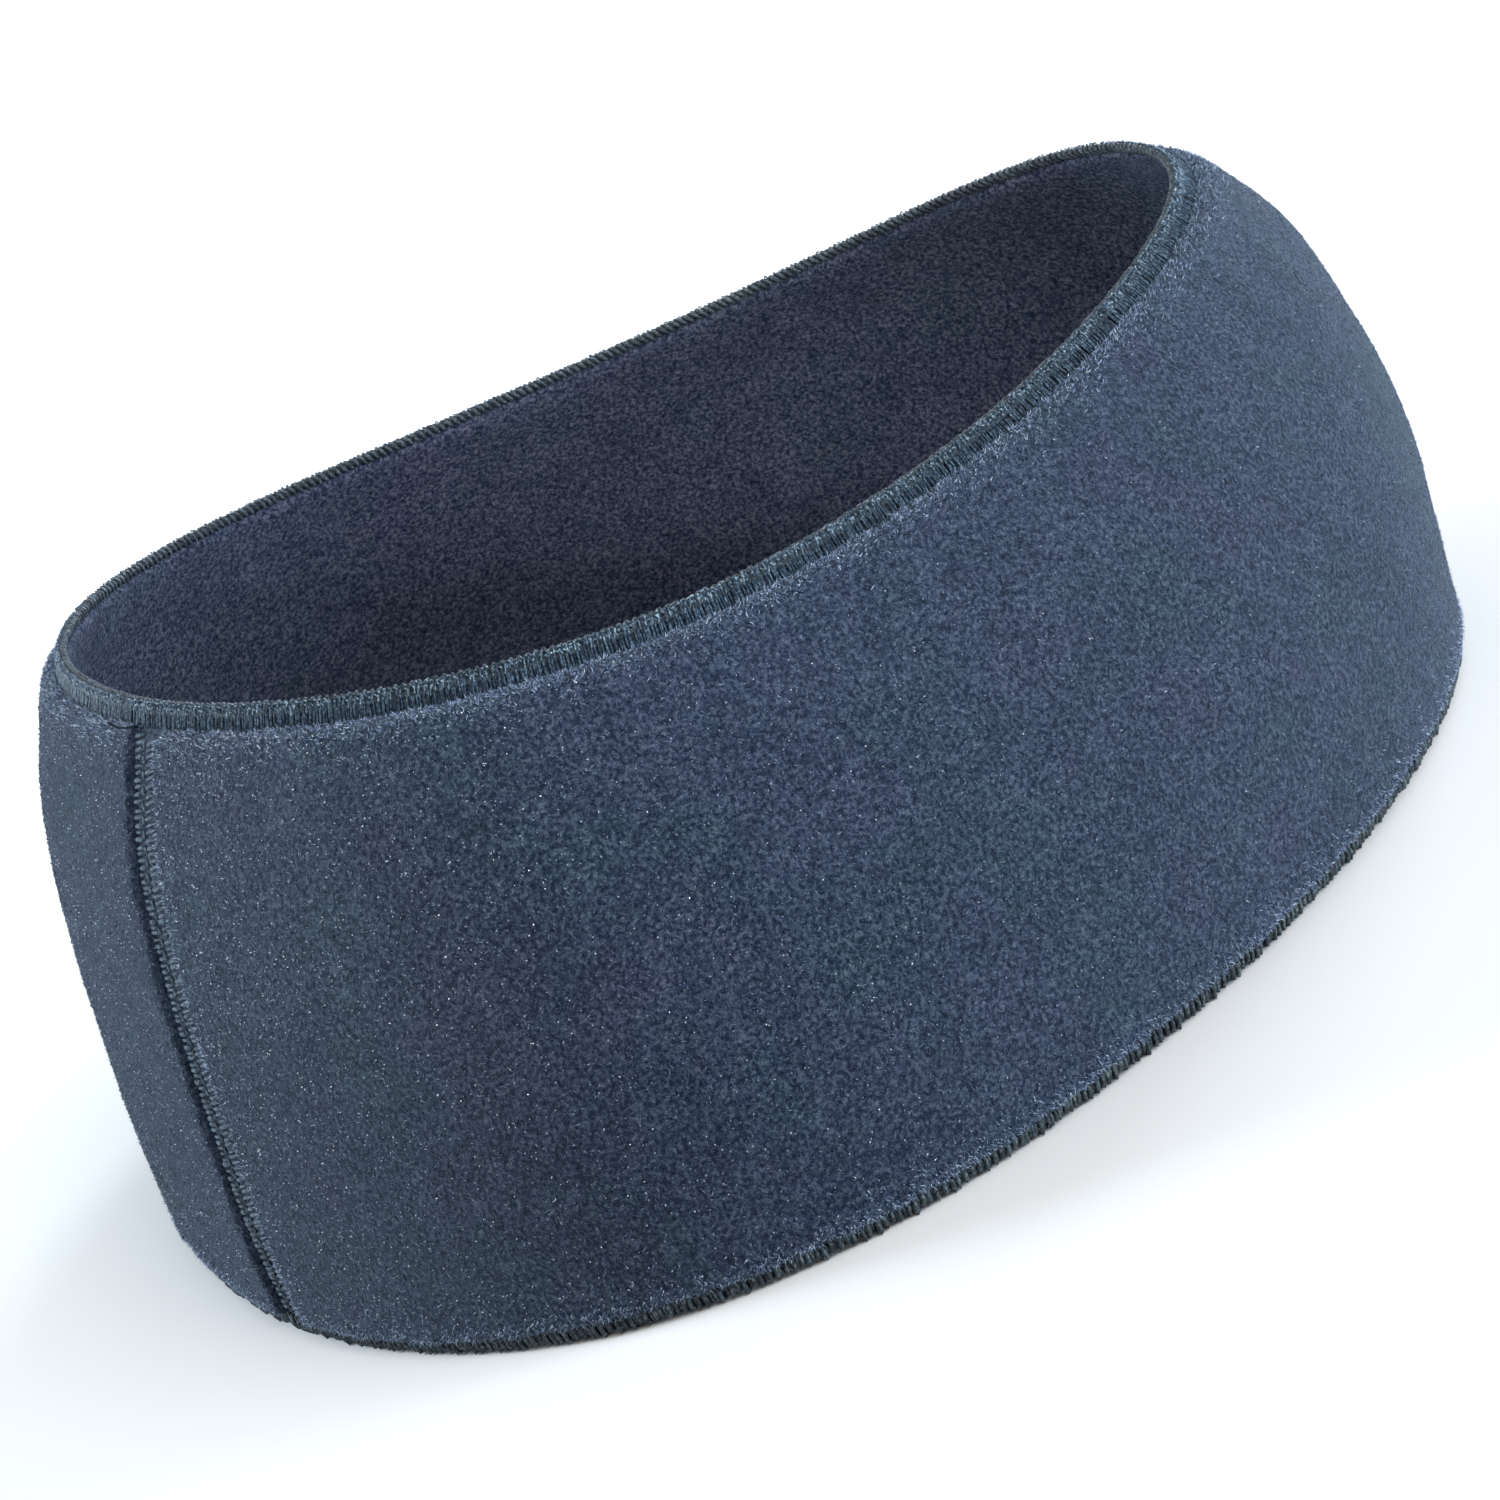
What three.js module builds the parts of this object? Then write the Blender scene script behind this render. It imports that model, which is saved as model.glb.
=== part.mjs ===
// Fleece headband: one strip of fleece sewn into a loop at the back, with both edges overlocked.
// Millimetres. The band stands on its lower edge: +Z is up, +X is the front, -X the back.
import * as THREE from 'three';

// Form of the loop: half sizes at mid height, heights of the rim, and how egg-shaped and how square it is
const halfLength = 100;
const halfWidth = 83;
const frontHeight = 78.2;
const backHeight = 85.7;
const sideDip = 7.4;
const frontNarrowing = 0.25;
const cornerPower = 2.12;

// Back seam: degrees from the middle of the back and degrees of lean, the width of its thread,
// and the bare grooves beside the thread
const seamTurn = 12.2;
const seamLean = 2.8;
const seamWidth = 5.2;
const seamGrooveNear = 0.3;
const seamGrooveFar = 1.6;
const seamButtGap = 0.6;

// Fleece wall, full and where thread presses it flat
const fleeceThickness = 3;
const sewnThickness = 1;
const pileShoulder = 1.8;

// Thread
const threadThickness = 0.6;
const threadGap = 0.3;
const threadRounding = 0.25;
const topThreadSink = 0.2;
const topReachOutside = 3.6;
const topReachInside = 2;
const bottomThreadSink = 0.5;
const bottomReachOutside = 2.2;
const bottomReachInside = 3;
const seamThreadSink = 0.5;

// Fineness of the faces
const stationsAround = 84;
const rowsDown = 9;
const seamRows = 16;

const fleeceColour = 0x36415a;
const overlockColour = 0x3a4b58;
const seamThreadColour = 0x3c4858;

// Outline at even steps from the upper rim down to the lower edge, as shares of half length and half width
const outlines = [
  { front: 0.855, back: 0.856, side: 0.817 },
  { front: 0.963, back: 0.95, side: 0.918 },
  { front: 1, back: 0.999, side: 0.992 },
  { front: 1.008, back: 1.029, side: 1.054 },
  { front: 0.986, back: 1.051, side: 1.098 },
  { front: 0.956, back: 1.058, side: 1.131 },
];
const outlineCurve = new THREE.CatmullRomCurve3(
  outlines.map(({ front, back, side }) => (
    new THREE.Vector3(front * halfLength, back * halfLength, side * halfWidth))),
  false, 'catmullrom', 0.5);

const fullTurn = 2 * Math.PI;
const radians = THREE.MathUtils.degToRad;
const mix = THREE.MathUtils.lerp;

function squared(value) {
  return Math.sign(value) * Math.abs(value) ** (2 / cornerPower);
}

// Height of the rim at an angle from the front
function rimHeight(angle) {
  const level = (frontHeight + backHeight) / 2;
  const tilt = (frontHeight - backHeight) / 2;
  return level + tilt * Math.cos(angle) - sideDip * Math.sin(angle) ** 2;
}

// Point of the outer face. down is the share of the height below the rim.
function facePoint(angle, down) {
  const outline = outlineCurve.getPoint(down);
  const lengthwise = squared(Math.cos(angle));
  const crosswise = squared(Math.sin(angle));
  const middle = (outline.x - outline.y) / 2;
  const reach = (outline.x + outline.y) / 2;
  return new THREE.Vector3(
    middle + reach * lengthwise,
    outline.z * crosswise * (1 - frontNarrowing * lengthwise),
    rimHeight(angle) * (1 - down));
}

// Outward direction there. It turns level at the lower edge, so that the edge stays flat.
function faceNormal(angle, down) {
  const step = 0.01;
  const around = facePoint(angle + step, down).sub(facePoint(angle - step, down));
  const above = Math.max(down - step, 0);
  const below = Math.min(down + step, 1);
  const downwards = facePoint(angle, below).sub(facePoint(angle, above));
  const normal = downwards.cross(around).normalize();
  normal.z *= 1 - down;
  return normal.normalize();
}

// The seam is where the turns begin and end. turns goes from 0 to 1 once round the loop.
function angleAt(turns, down) {
  return Math.PI + radians(seamTurn - seamLean * (down - 0.5)) + turns * fullTurn;
}

// Point of the wall: turns round the loop, millimetres below the rim, millimetres in from the outer face
function wallPoint(turns, below, depth) {
  const height = rimHeight(angleAt(turns, 0.5));
  const down = THREE.MathUtils.clamp(below / height, 0, 1);
  const angle = angleAt(turns, down);
  return facePoint(angle, down).addScaledVector(faceNormal(angle, down), -depth);
}

// Share of a turn that one millimetre along the wall takes beside the seam
function turnsPerMillimetre(down) {
  const step = 0.002;
  const along = facePoint(angleAt(step, down), down).distanceTo(facePoint(angleAt(-step, down), down));
  return 2 * step / along;
}

// Depths of the layers where thread holds the wall, from the thread outside to the thread inside
function sewnLayers(sink) {
  const outerThread = sink;
  const outerFleece = outerThread + threadThickness + threadGap;
  const innerFleece = outerFleece + sewnThickness;
  const innerThread = innerFleece + threadGap + threadThickness;
  return { outerThread, outerFleece, innerFleece, innerThread };
}
const topLayers = sewnLayers(topThreadSink);
const bottomLayers = sewnLayers(bottomThreadSink);
const seamLayers = sewnLayers(seamThreadSink);
const fleeceEdge = threadThickness + threadGap;

// Closed body through equal loops of points, joined end to end or capped at both ends
function sweptBody(loops, joined) {
  const count = loops[0].length;
  const positions = loops.flat().flatMap((point) => [point.x, point.y, point.z]);
  const faces = [];
  const spans = joined ? loops.length : loops.length - 1;
  for (let i = 0; i < spans; i += 1) {
    const here = i * count;
    const next = ((i + 1) % loops.length) * count;
    for (let j = 0; j < count; j += 1) {
      const after = (j + 1) % count;
      faces.push(here + j, next + after, next + j);
      faces.push(here + j, here + after, next + after);
    }
  }
  if (!joined) {
    const last = (loops.length - 1) * count;
    for (let j = 0; j < count / 2 - 1; j += 1) {
      const cap = [j, j + 1, count - 2 - j, count - 1 - j];
      faces.push(cap[0], cap[2], cap[1], cap[0], cap[3], cap[2]);
      faces.push(last + cap[0], last + cap[1], last + cap[2]);
      faces.push(last + cap[0], last + cap[2], last + cap[3]);
    }
  }
  const geometry = new THREE.BufferGeometry();
  geometry.setAttribute('position', new THREE.Float32BufferAttribute(positions, 3));
  geometry.setIndex(faces);
  geometry.computeVertexNormals();
  return geometry;
}

function evenSteps(from, to, count) {
  return Array.from({ length: count + 1 }, (_, i) => mix(from, to, i / count));
}

// How far thread presses the pile in, from 1 at the thread to 0 past the shoulder of the open pile
function pressedShare(pastThread) {
  const share = THREE.MathUtils.clamp(pastThread / pileShoulder, 0, 1);
  return (1 - share) ** 2;
}
const shoulderSteps = [0, 0.25, 0.55, 1].map((share) => share * pileShoulder);

// The two faces of the fleece: depth of the open pile, where the thread on them ends, and the pressed depths
const outerFace = {
  open: 0,
  topFree: topReachOutside + threadGap,
  bottomFree: bottomReachOutside + threadGap,
  topPressed: topLayers.outerFleece,
  bottomPressed: bottomLayers.outerFleece,
  seamPressed: seamLayers.outerFleece,
};
const innerFace = {
  open: fleeceThickness,
  topFree: topReachInside + threadGap,
  bottomFree: bottomReachInside + threadGap,
  topPressed: topLayers.innerFleece,
  bottomPressed: bottomLayers.innerFleece,
  seamPressed: seamLayers.innerFleece,
};

// Rows of one face from rim to lower edge, as distance below the rim and depth
function faceRows(face, height, seamShare) {
  const top = [fleeceEdge, ...shoulderSteps.map((step) => face.topFree + step)];
  const bottom = [fleeceEdge, ...shoulderSteps.map((step) => face.bottomFree + step)];
  const middle = evenSteps(top.at(-1), height - bottom.at(-1), rowsDown).slice(1, -1);
  const belows = [...top, ...middle, ...bottom.toReversed().map((step) => height - step)];
  return belows.map((below) => {
    const atTop = pressedShare(below - face.topFree);
    const atBottom = pressedShare(height - below - face.bottomFree);
    const atSeam = seamShare * (1 - atTop) * (1 - atBottom);
    const pressed = face.topPressed * atTop + face.bottomPressed * atBottom + face.seamPressed * atSeam;
    return { below, depth: pressed + face.open * (1 - atTop - atBottom - atSeam) };
  });
}

// Stations of the fleece on one side of the seam, out to the open pile
function seamStations(groove) {
  const free = seamWidth / 2 + groove;
  const distances = [seamButtGap / 2, ...shoulderSteps.map((step) => free + step)];
  return distances.map((distance) => ({
    turnsAt: (down) => distance * turnsPerMillimetre(down),
    seamShare: pressedShare(distance - free),
  }));
}

// Loop of the fleece at one station: down the outer face and up the inner one
function fleeceLoop({ turnsAt, seamShare }) {
  const height = rimHeight(angleAt(turnsAt(0.5), 0.5));
  const rows = [
    ...faceRows(outerFace, height, seamShare),
    ...faceRows(innerFace, height, seamShare).toReversed(),
  ];
  return rows.map(({ below, depth }) => wallPoint(turnsAt(below / height), below, depth));
}

function fleeceBand() {
  const near = seamStations(seamGrooveNear);
  const far = seamStations(seamGrooveFar).map(({ turnsAt, seamShare }) => ({
    turnsAt: (down) => 1 - turnsAt(down),
    seamShare,
  }));
  const open = evenSteps(0, 1, stationsAround).slice(1, -1).map((share) => ({
    turnsAt: (down) => mix(near.at(-1).turnsAt(down), far.at(-1).turnsAt(down), share),
    seamShare: 0,
  }));
  return sweptBody([...near, ...open, ...far.toReversed()].map(fleeceLoop), false);
}

// One leg of an edge's thread in section, from its inner corner round its tip to the fold, as rows of
// distance from the edge and depth
function threadLeg(reach, face, inwards) {
  const back = face + inwards * threadThickness;
  const rounding = inwards * threadRounding;
  return [
    { from: fleeceEdge - threadGap, depth: back },
    { from: reach, depth: back },
    { from: reach, depth: face + rounding },
    { from: reach - threadRounding, depth: face },
    { from: threadRounding, depth: face },
    { from: 0, depth: face + rounding },
  ];
}

// Ring of thread folded over one edge. distanceBelow turns a distance from the edge into one below the rim.
function overlock(layers, reachOutside, reachInside, distanceBelow) {
  const outer = threadLeg(reachOutside, layers.outerThread, 1);
  const inner = threadLeg(reachInside, layers.innerThread, -1);
  const section = [...outer, ...inner.toReversed()];
  return evenSteps(0, 1, stationsAround).slice(0, -1).map((turns) => {
    const height = rimHeight(angleAt(turns, 0.5));
    return section.map(({ from, depth }) => wallPoint(turns, distanceBelow(from, height), depth));
  });
}

function topOverlock() {
  const loops = overlock(topLayers, topReachOutside, topReachInside, (from) => from);
  return sweptBody(loops.map((loop) => loop.toReversed()), true);
}

function bottomOverlock() {
  return sweptBody(
    overlock(bottomLayers, bottomReachOutside, bottomReachInside, (from, height) => height - from), true);
}

// Flat ladder of thread along the seam, on one face of the wall
function seamStitch(topReach, bottomReach, face, inwards) {
  const height = rimHeight(angleAt(0, 0.5));
  const half = seamWidth / 2;
  const back = face + inwards * threadThickness;
  const rounded = face + inwards * threadRounding;
  const section = [
    { along: -half, depth: back },
    { along: -half, depth: rounded },
    { along: threadRounding - half, depth: face },
    { along: half - threadRounding, depth: face },
    { along: half, depth: rounded },
    { along: half, depth: back },
  ];
  const belows = evenSteps(topReach + threadGap, height - bottomReach - threadGap, seamRows);
  const loops = belows.map((below) => section.map(({ along, depth }) => (
    wallPoint(along * turnsPerMillimetre(below / height), below, depth))));
  const facesOutwards = inwards > 0;
  return sweptBody(facesOutwards ? loops.map((loop) => loop.toReversed()) : loops, false);
}

function finish(colour, roughness) {
  return new THREE.MeshStandardMaterial({ color: colour, roughness, metalness: 0 });
}

function piece(name, geometry, material) {
  const mesh = new THREE.Mesh(geometry, material);
  mesh.name = name;
  return mesh;
}

const headband = new THREE.Group();
headband.add(
  piece('fleece_band', fleeceBand(), finish(fleeceColour, 0.95)),
  piece('top_overlock', topOverlock(), finish(overlockColour, 0.7)),
  piece('bottom_overlock', bottomOverlock(), finish(overlockColour, 0.7)),
  piece('seam_stitch_outer',
    seamStitch(topReachOutside, bottomReachOutside, seamLayers.outerThread, 1),
    finish(seamThreadColour, 0.75)),
  piece('seam_stitch_inner',
    seamStitch(topReachInside, bottomReachInside, seamLayers.innerThread, -1),
    finish(seamThreadColour, 0.75)),
);

// The origin is the middle of the footprint, on the surface that the lower edge stands on
const bounds = new THREE.Box3().setFromObject(headband);
const middle = bounds.getCenter(new THREE.Vector3());
headband.position.set(-middle.x, -middle.y, -bounds.min.z);

export default headband;
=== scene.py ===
# Looks of the fleece headband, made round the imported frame
import math

import bpy
import numpy as np
from mathutils import Matrix, Vector


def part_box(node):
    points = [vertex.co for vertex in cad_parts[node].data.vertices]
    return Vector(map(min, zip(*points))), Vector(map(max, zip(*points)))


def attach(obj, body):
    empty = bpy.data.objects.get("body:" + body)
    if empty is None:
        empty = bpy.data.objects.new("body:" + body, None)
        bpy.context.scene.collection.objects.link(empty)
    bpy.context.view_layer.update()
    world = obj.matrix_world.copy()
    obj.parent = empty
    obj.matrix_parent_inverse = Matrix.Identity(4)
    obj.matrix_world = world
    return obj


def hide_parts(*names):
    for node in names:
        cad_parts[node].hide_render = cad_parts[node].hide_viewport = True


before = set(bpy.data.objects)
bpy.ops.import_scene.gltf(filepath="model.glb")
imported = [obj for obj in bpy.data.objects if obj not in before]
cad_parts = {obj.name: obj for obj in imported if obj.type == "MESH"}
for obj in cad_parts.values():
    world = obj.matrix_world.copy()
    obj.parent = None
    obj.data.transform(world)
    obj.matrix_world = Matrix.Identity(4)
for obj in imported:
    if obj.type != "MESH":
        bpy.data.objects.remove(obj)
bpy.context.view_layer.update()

# Form of the loop, in millimetres, as in the part's source
HALF_LENGTH = 100
HALF_WIDTH = 83
FRONT_HEIGHT = 78.2
BACK_HEIGHT = 85.7
SIDE_DIP = 7.4
FRONT_NARROWING = 0.25
CORNER_POWER = 2.12
SEAM_TURN = 12.2
SEAM_LEAN = 2.8
SEAM_WIDTH = 5.2
FLEECE_THICKNESS = 3
SEWN_THICKNESS = 1
THREAD_THICKNESS = 0.6
THREAD_GAP = 0.3
FLEECE_EDGE = THREAD_THICKNESS + THREAD_GAP
TOP_REACH_OUTSIDE = 3.6
TOP_REACH_INSIDE = 2
BOTTOM_SINK = 0.5
BOTTOM_REACH_OUTSIDE = 2.2
BOTTOM_REACH_INSIDE = 3
SEAM_SINK = 0.5

# Pressed strip between the seam's thread and the open pile, and the groove in it on the far side
SEAM_STRIP = 0.6
GROOVE_DEPTH = 1.3
GROOVE_PLACE = 0.35
GROOVE_WIDTH = 0.4

# Rolls of pile beside thread: where they crest past the shoulder, how wide they are, and how high each
# stands as a share of the one at the top
ROLL_PLACE = 1.6
ROLL_WIDTH = 3.2
BOTTOM_ROLL = 0.3
FAR_SEAM_ROLL = 0.6

# Unevenness of the fleece: size and wavelength in millimetres, and a seed
TOP_EDGE_NOISE = (0.2, 2.6, 16)
BOTTOM_EDGE_NOISE = (0.2, 3.2, 17)
SEAM_EDGE_NOISE = (0.22, 3.0, 18)
ROLL_NOISE = (0.2, 5, 15)
LUMP_NOISES = [(0.22, 26, 11), (0.10, 8, 12), (0.07, 3.1, 13), (0.07, 1.9, 14)]

# Front, back and side of the outline at even steps from the rim down, as shares of the half sizes
OUTLINES = np.array([
    [0.855, 0.856, 0.817],
    [0.963, 0.950, 0.918],
    [1.000, 0.999, 0.992],
    [1.008, 1.029, 1.054],
    [0.986, 1.051, 1.098],
    [0.956, 1.058, 1.131],
]) * [HALF_LENGTH, HALF_LENGTH, HALF_WIDTH]

MM = 0.001
FULL_TURN = 2 * math.pi
random = np.random.default_rng(7)


# Wall of the band

def outline(down):
    """Front, back and side reach at a share of the height down: a smooth curve through OUTLINES."""
    first = 2 * OUTLINES[0] - OUTLINES[1]
    last = 2 * OUTLINES[-1] - OUTLINES[-2]
    rows = np.vstack([first, OUTLINES, last])
    spans = len(OUTLINES) - 1
    place = np.asarray(down, float) * spans
    index = np.clip(np.floor(place).astype(int), 0, spans - 1)
    part = (place - index)[..., None]
    before, start, end, after = (rows[index + i] for i in range(4))
    slope_in = (end - before) / 2
    slope_out = (after - start) / 2
    square = 3 * (end - start) - 2 * slope_in - slope_out
    cube = 2 * (start - end) + slope_in + slope_out
    return start + part * (slope_in + part * (square + part * cube))


def squared(value):
    return np.sign(value) * np.abs(value) ** (2 / CORNER_POWER)


def rim_height(angle):
    level = (FRONT_HEIGHT + BACK_HEIGHT) / 2
    tilt = (FRONT_HEIGHT - BACK_HEIGHT) / 2
    return level + tilt * np.cos(angle) - SIDE_DIP * np.sin(angle) ** 2


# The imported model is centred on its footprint, so the loop is shifted along X by this much
LOOP_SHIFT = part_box("fleece_band")[1][0] / MM - outline(np.linspace(0, 1, 400))[:, 0].max()

# Slack of the rim round the loop, in millimetres: its mean, then cosine and sine parts of each wave
RIM_LEVEL = 0.5
RIM_WAVES = [(-0.08, 0.78), (-0.07, -0.23), (0.32, 0.09), (-0.26, 0.26), (-0.02, 0.10)]


def rim_slack(angle):
    slack = np.full_like(angle, RIM_LEVEL)
    for index, (cosine, sine) in enumerate(RIM_WAVES):
        slack = slack + cosine * np.cos((index + 1) * angle) + sine * np.sin((index + 1) * angle)
    return slack


def face_point(angle, down):
    reach = outline(down)
    lengthwise = squared(np.cos(angle))
    crosswise = squared(np.sin(angle))
    middle = (reach[..., 0] - reach[..., 1]) / 2
    half = (reach[..., 0] + reach[..., 1]) / 2
    x = LOOP_SHIFT + middle + half * lengthwise
    y = reach[..., 2] * crosswise * (1 - FRONT_NARROWING * lengthwise)
    return np.stack([x, y, (rim_height(angle) + rim_slack(angle)) * (1 - down)], axis=-1)


def unit(vectors):
    return vectors / np.linalg.norm(vectors, axis=-1, keepdims=True)


def face_normal(angle, down):
    """Outward direction, which turns level at the lower edge so that the edge stays flat."""
    step = 0.01
    around = face_point(angle + step, down) - face_point(angle - step, down)
    below = np.minimum(down + step, 1)
    above = np.maximum(down - step, 0)
    downwards = face_point(angle, below) - face_point(angle, above)
    normal = unit(np.cross(downwards, around))
    normal[..., 2] *= 1 - down
    return unit(normal)


def angle_at(turns, down):
    return math.pi + np.radians(SEAM_TURN - SEAM_LEAN * (down - 0.5)) + turns * FULL_TURN


def share_down(turns, below):
    return np.clip(below / rim_height(angle_at(turns, 0.5)), 0, 1)


def wall_point(turns, below, depth):
    """Point at turns round the loop from the seam, below the rim, and depth in from the outer face."""
    turns, below, depth = np.broadcast_arrays(turns, below, depth)
    down = share_down(turns, below)
    angle = angle_at(turns, down)
    return face_point(angle, down) - depth[..., None] * face_normal(angle, down)


def wall_normal(turns, below):
    turns, below = np.broadcast_arrays(turns, below)
    down = share_down(turns, below)
    return face_normal(angle_at(turns, down), down)


def turns_per_mm(down):
    """Share of a turn that one millimetre along the wall takes beside the seam."""
    step = 0.002
    ends = face_point(angle_at(step, down), down) - face_point(angle_at(-step, down), down)
    return 2 * step / np.linalg.norm(ends, axis=-1)


def length_table(down):
    """Turns at even steps, and the distance along the wall that each has come from the seam."""
    turns = np.linspace(0, 1, 3001)
    points = face_point(angle_at(turns, down), np.full_like(turns, down))
    steps = np.linalg.norm(np.diff(points, axis=0), axis=1)
    return turns, np.concatenate([[0], np.cumsum(steps)])


def soft_noise(points, wavelength, seed):
    """Smooth values from -1 to 1 that change over about one wavelength."""
    size = 32
    lattice = np.random.default_rng(seed).uniform(-1, 1, (size, size, size))
    scaled = points / wavelength
    cell = np.floor(scaled).astype(int)
    part = scaled - cell
    part = part * part * (3 - 2 * part)
    total = np.zeros(points.shape[:-1])
    for corner in np.ndindex(2, 2, 2):
        weight = np.where(corner, part, 1 - part).prod(axis=-1)
        x, y, z = np.moveaxis((cell + corner) % size, -1, 0)
        total += weight * lattice[x, y, z]
    return total


def unevenness(points, *rows):
    """Sum of soft noises, each a size, a wavelength and a seed."""
    return sum(size * soft_noise(points, wavelength, seed) for size, wavelength, seed in rows)


# Fleece: how deep its two faces lie

def sewn_layers(sink):
    """Depths of the outer thread, the pressed fleece's two faces and the inner thread."""
    outer_fleece = sink + FLEECE_EDGE
    inner_fleece = outer_fleece + SEWN_THICKNESS
    return {
        "outer_thread": sink,
        "outer_fleece": outer_fleece,
        "inner_fleece": inner_fleece,
        "inner_thread": inner_fleece + FLEECE_EDGE,
    }


# The top edge is thinner than in the solids, and the fleece under the seam's thread is pressed less
TOP = {"outer_thread": 1.1, "outer_fleece": 1.6, "inner_fleece": 2.3, "inner_thread": 2.8}
BOTTOM = sewn_layers(BOTTOM_SINK)
SEAM = sewn_layers(SEAM_SINK)
SEAM["outer_fleece"] = 0.6

# Each face: depth of the open pile, the side that it faces, and where thread ends at the top and at the
# bottom. At the top, the bottom and the seam: depth of the pressed fleece and length of the pile's shoulder
OUTER = {
    "open": -0.2,
    "side": 1,
    "top_free": TOP_REACH_OUTSIDE - 0.5,
    "bottom_free": BOTTOM_REACH_OUTSIDE - 0.5,
    "pressed": [layers["outer_fleece"] for layers in (TOP, BOTTOM, SEAM)],
    "shoulders": [1.9, 1.3, 0.8],
    "lumps": 1,
    "roll": 0.4,
}
INNER = {
    "open": FLEECE_THICKNESS,
    "side": -1,
    "top_free": TOP_REACH_INSIDE - 0.6,
    "bottom_free": BOTTOM_REACH_INSIDE + 0.1,
    "pressed": [layers["inner_fleece"] for layers in (TOP, BOTTOM, SEAM)],
    "shoulders": [0.8, 1.2, 1.2],
    "lumps": 0.8,
    "roll": 0.2,
}

MID_TURNS, MID_LENGTHS = length_table(0.5)
LOOP_LENGTH = MID_LENGTHS[-1]
SEAM_ZONE = 7


def turns_at(distance, down):
    """Turns of a station, named by its distance from the seam along the wall at mid height."""
    distance, down = np.broadcast_arrays(distance, down)
    per_mm = turns_per_mm(down)
    start = SEAM_ZONE * per_mm
    mid = np.interp(distance, MID_LENGTHS, MID_TURNS)
    mid_start = SEAM_ZONE * turns_per_mm(np.array(0.5))
    share = (mid - mid_start) / (1 - 2 * mid_start)
    turns = start + share * (1 - 2 * start)
    turns = np.where(distance < SEAM_ZONE, distance * per_mm, turns)
    back = LOOP_LENGTH - distance
    return np.where(back < SEAM_ZONE, 1 - back * per_mm, turns)


def pressed_share(past_thread, shoulder):
    """1 where thread holds the pile down, falling to 0 past the shoulder of the open pile."""
    share = np.clip(past_thread / shoulder, 0, 1)
    return (1 - share) ** 2


def roll_share(past_thread, shoulder):
    """Soft roll of pile that stands a little proud beside thread."""
    place = (past_thread - shoulder - ROLL_PLACE) / ROLL_WIDTH
    return np.exp(-place * place)


def fleece_point(face, distance, below_from_top, share_of_height):
    """Points of one face of the fleece, the directions off it and how open its pile is there. A row lies a
    distance below the rim plus a share of the height."""
    mid_turns = turns_at(distance, 0.5)
    height = rim_height(angle_at(mid_turns, 0.5))
    below = below_from_top + share_of_height * height
    turns = turns_at(distance, below / height)
    surface = wall_point(turns, below, 0)
    on_far_side = distance > LOOP_LENGTH / 2
    past_seam_thread = np.where(on_far_side, LOOP_LENGTH - distance, distance) - SEAM_WIDTH / 2

    past_top = below - face["top_free"] - unevenness(surface, TOP_EDGE_NOISE)
    past_bottom = height - below - face["bottom_free"] - unevenness(surface, BOTTOM_EDGE_NOISE)
    past_seam = past_seam_thread - SEAM_STRIP - unevenness(surface, SEAM_EDGE_NOISE)
    top_shoulder, bottom_shoulder, seam_shoulder = face["shoulders"]
    at_top = pressed_share(past_top, top_shoulder)
    at_bottom = pressed_share(past_bottom, bottom_shoulder)
    at_seam = pressed_share(past_seam, seam_shoulder) * (1 - at_top) * (1 - at_bottom)
    open_share = 1 - at_top - at_bottom - at_seam

    top, bottom, seam = face["pressed"]
    if face is OUTER:
        place = (past_seam_thread - GROOVE_PLACE) / GROOVE_WIDTH
        seam = seam + GROOVE_DEPTH * np.exp(-place * place) * on_far_side
    depth = top * at_top + bottom * at_bottom + seam * at_seam + face["open"] * open_share

    rolls = roll_share(past_top, top_shoulder) + BOTTOM_ROLL * roll_share(past_bottom, bottom_shoulder)
    rolls = rolls + FAR_SEAM_ROLL * on_far_side * roll_share(past_seam, seam_shoulder)
    rolls = rolls * (1 + unevenness(surface, ROLL_NOISE))
    proud = face["lumps"] * unevenness(surface, *LUMP_NOISES) + face["roll"] * rolls
    depth = depth - face["side"] * open_share * proud
    return wall_point(turns, below, depth), wall_normal(turns, below) * face["side"], open_share


# Meshes

def mesh_piece(name, points, faces, material, replaced=()):
    mesh = bpy.data.meshes.new(name)
    mesh.from_pydata((points * MM).tolist(), [], faces)
    mesh.validate()
    mesh.polygons.foreach_set("use_smooth", np.ones(len(mesh.polygons), dtype=bool))
    for finish in material if isinstance(material, list) else [material]:
        mesh.materials.append(finish)
    piece = bpy.data.objects.new(name, mesh)
    bpy.context.scene.collection.objects.link(piece)
    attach(piece, "root")
    if replaced:
        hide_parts(*replaced)
    return piece


def grid_faces(rows, columns):
    """Quads of a grid that is closed both ways."""
    row, column = np.meshgrid(np.arange(rows), np.arange(columns), indexing="ij")
    next_row = (row + 1) % rows
    next_column = (column + 1) % columns
    corners = [
        row * columns + column,
        row * columns + next_column,
        next_row * columns + next_column,
        next_row * columns + column,
    ]
    return np.stack(corners, axis=-1).reshape(-1, 4)


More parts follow.
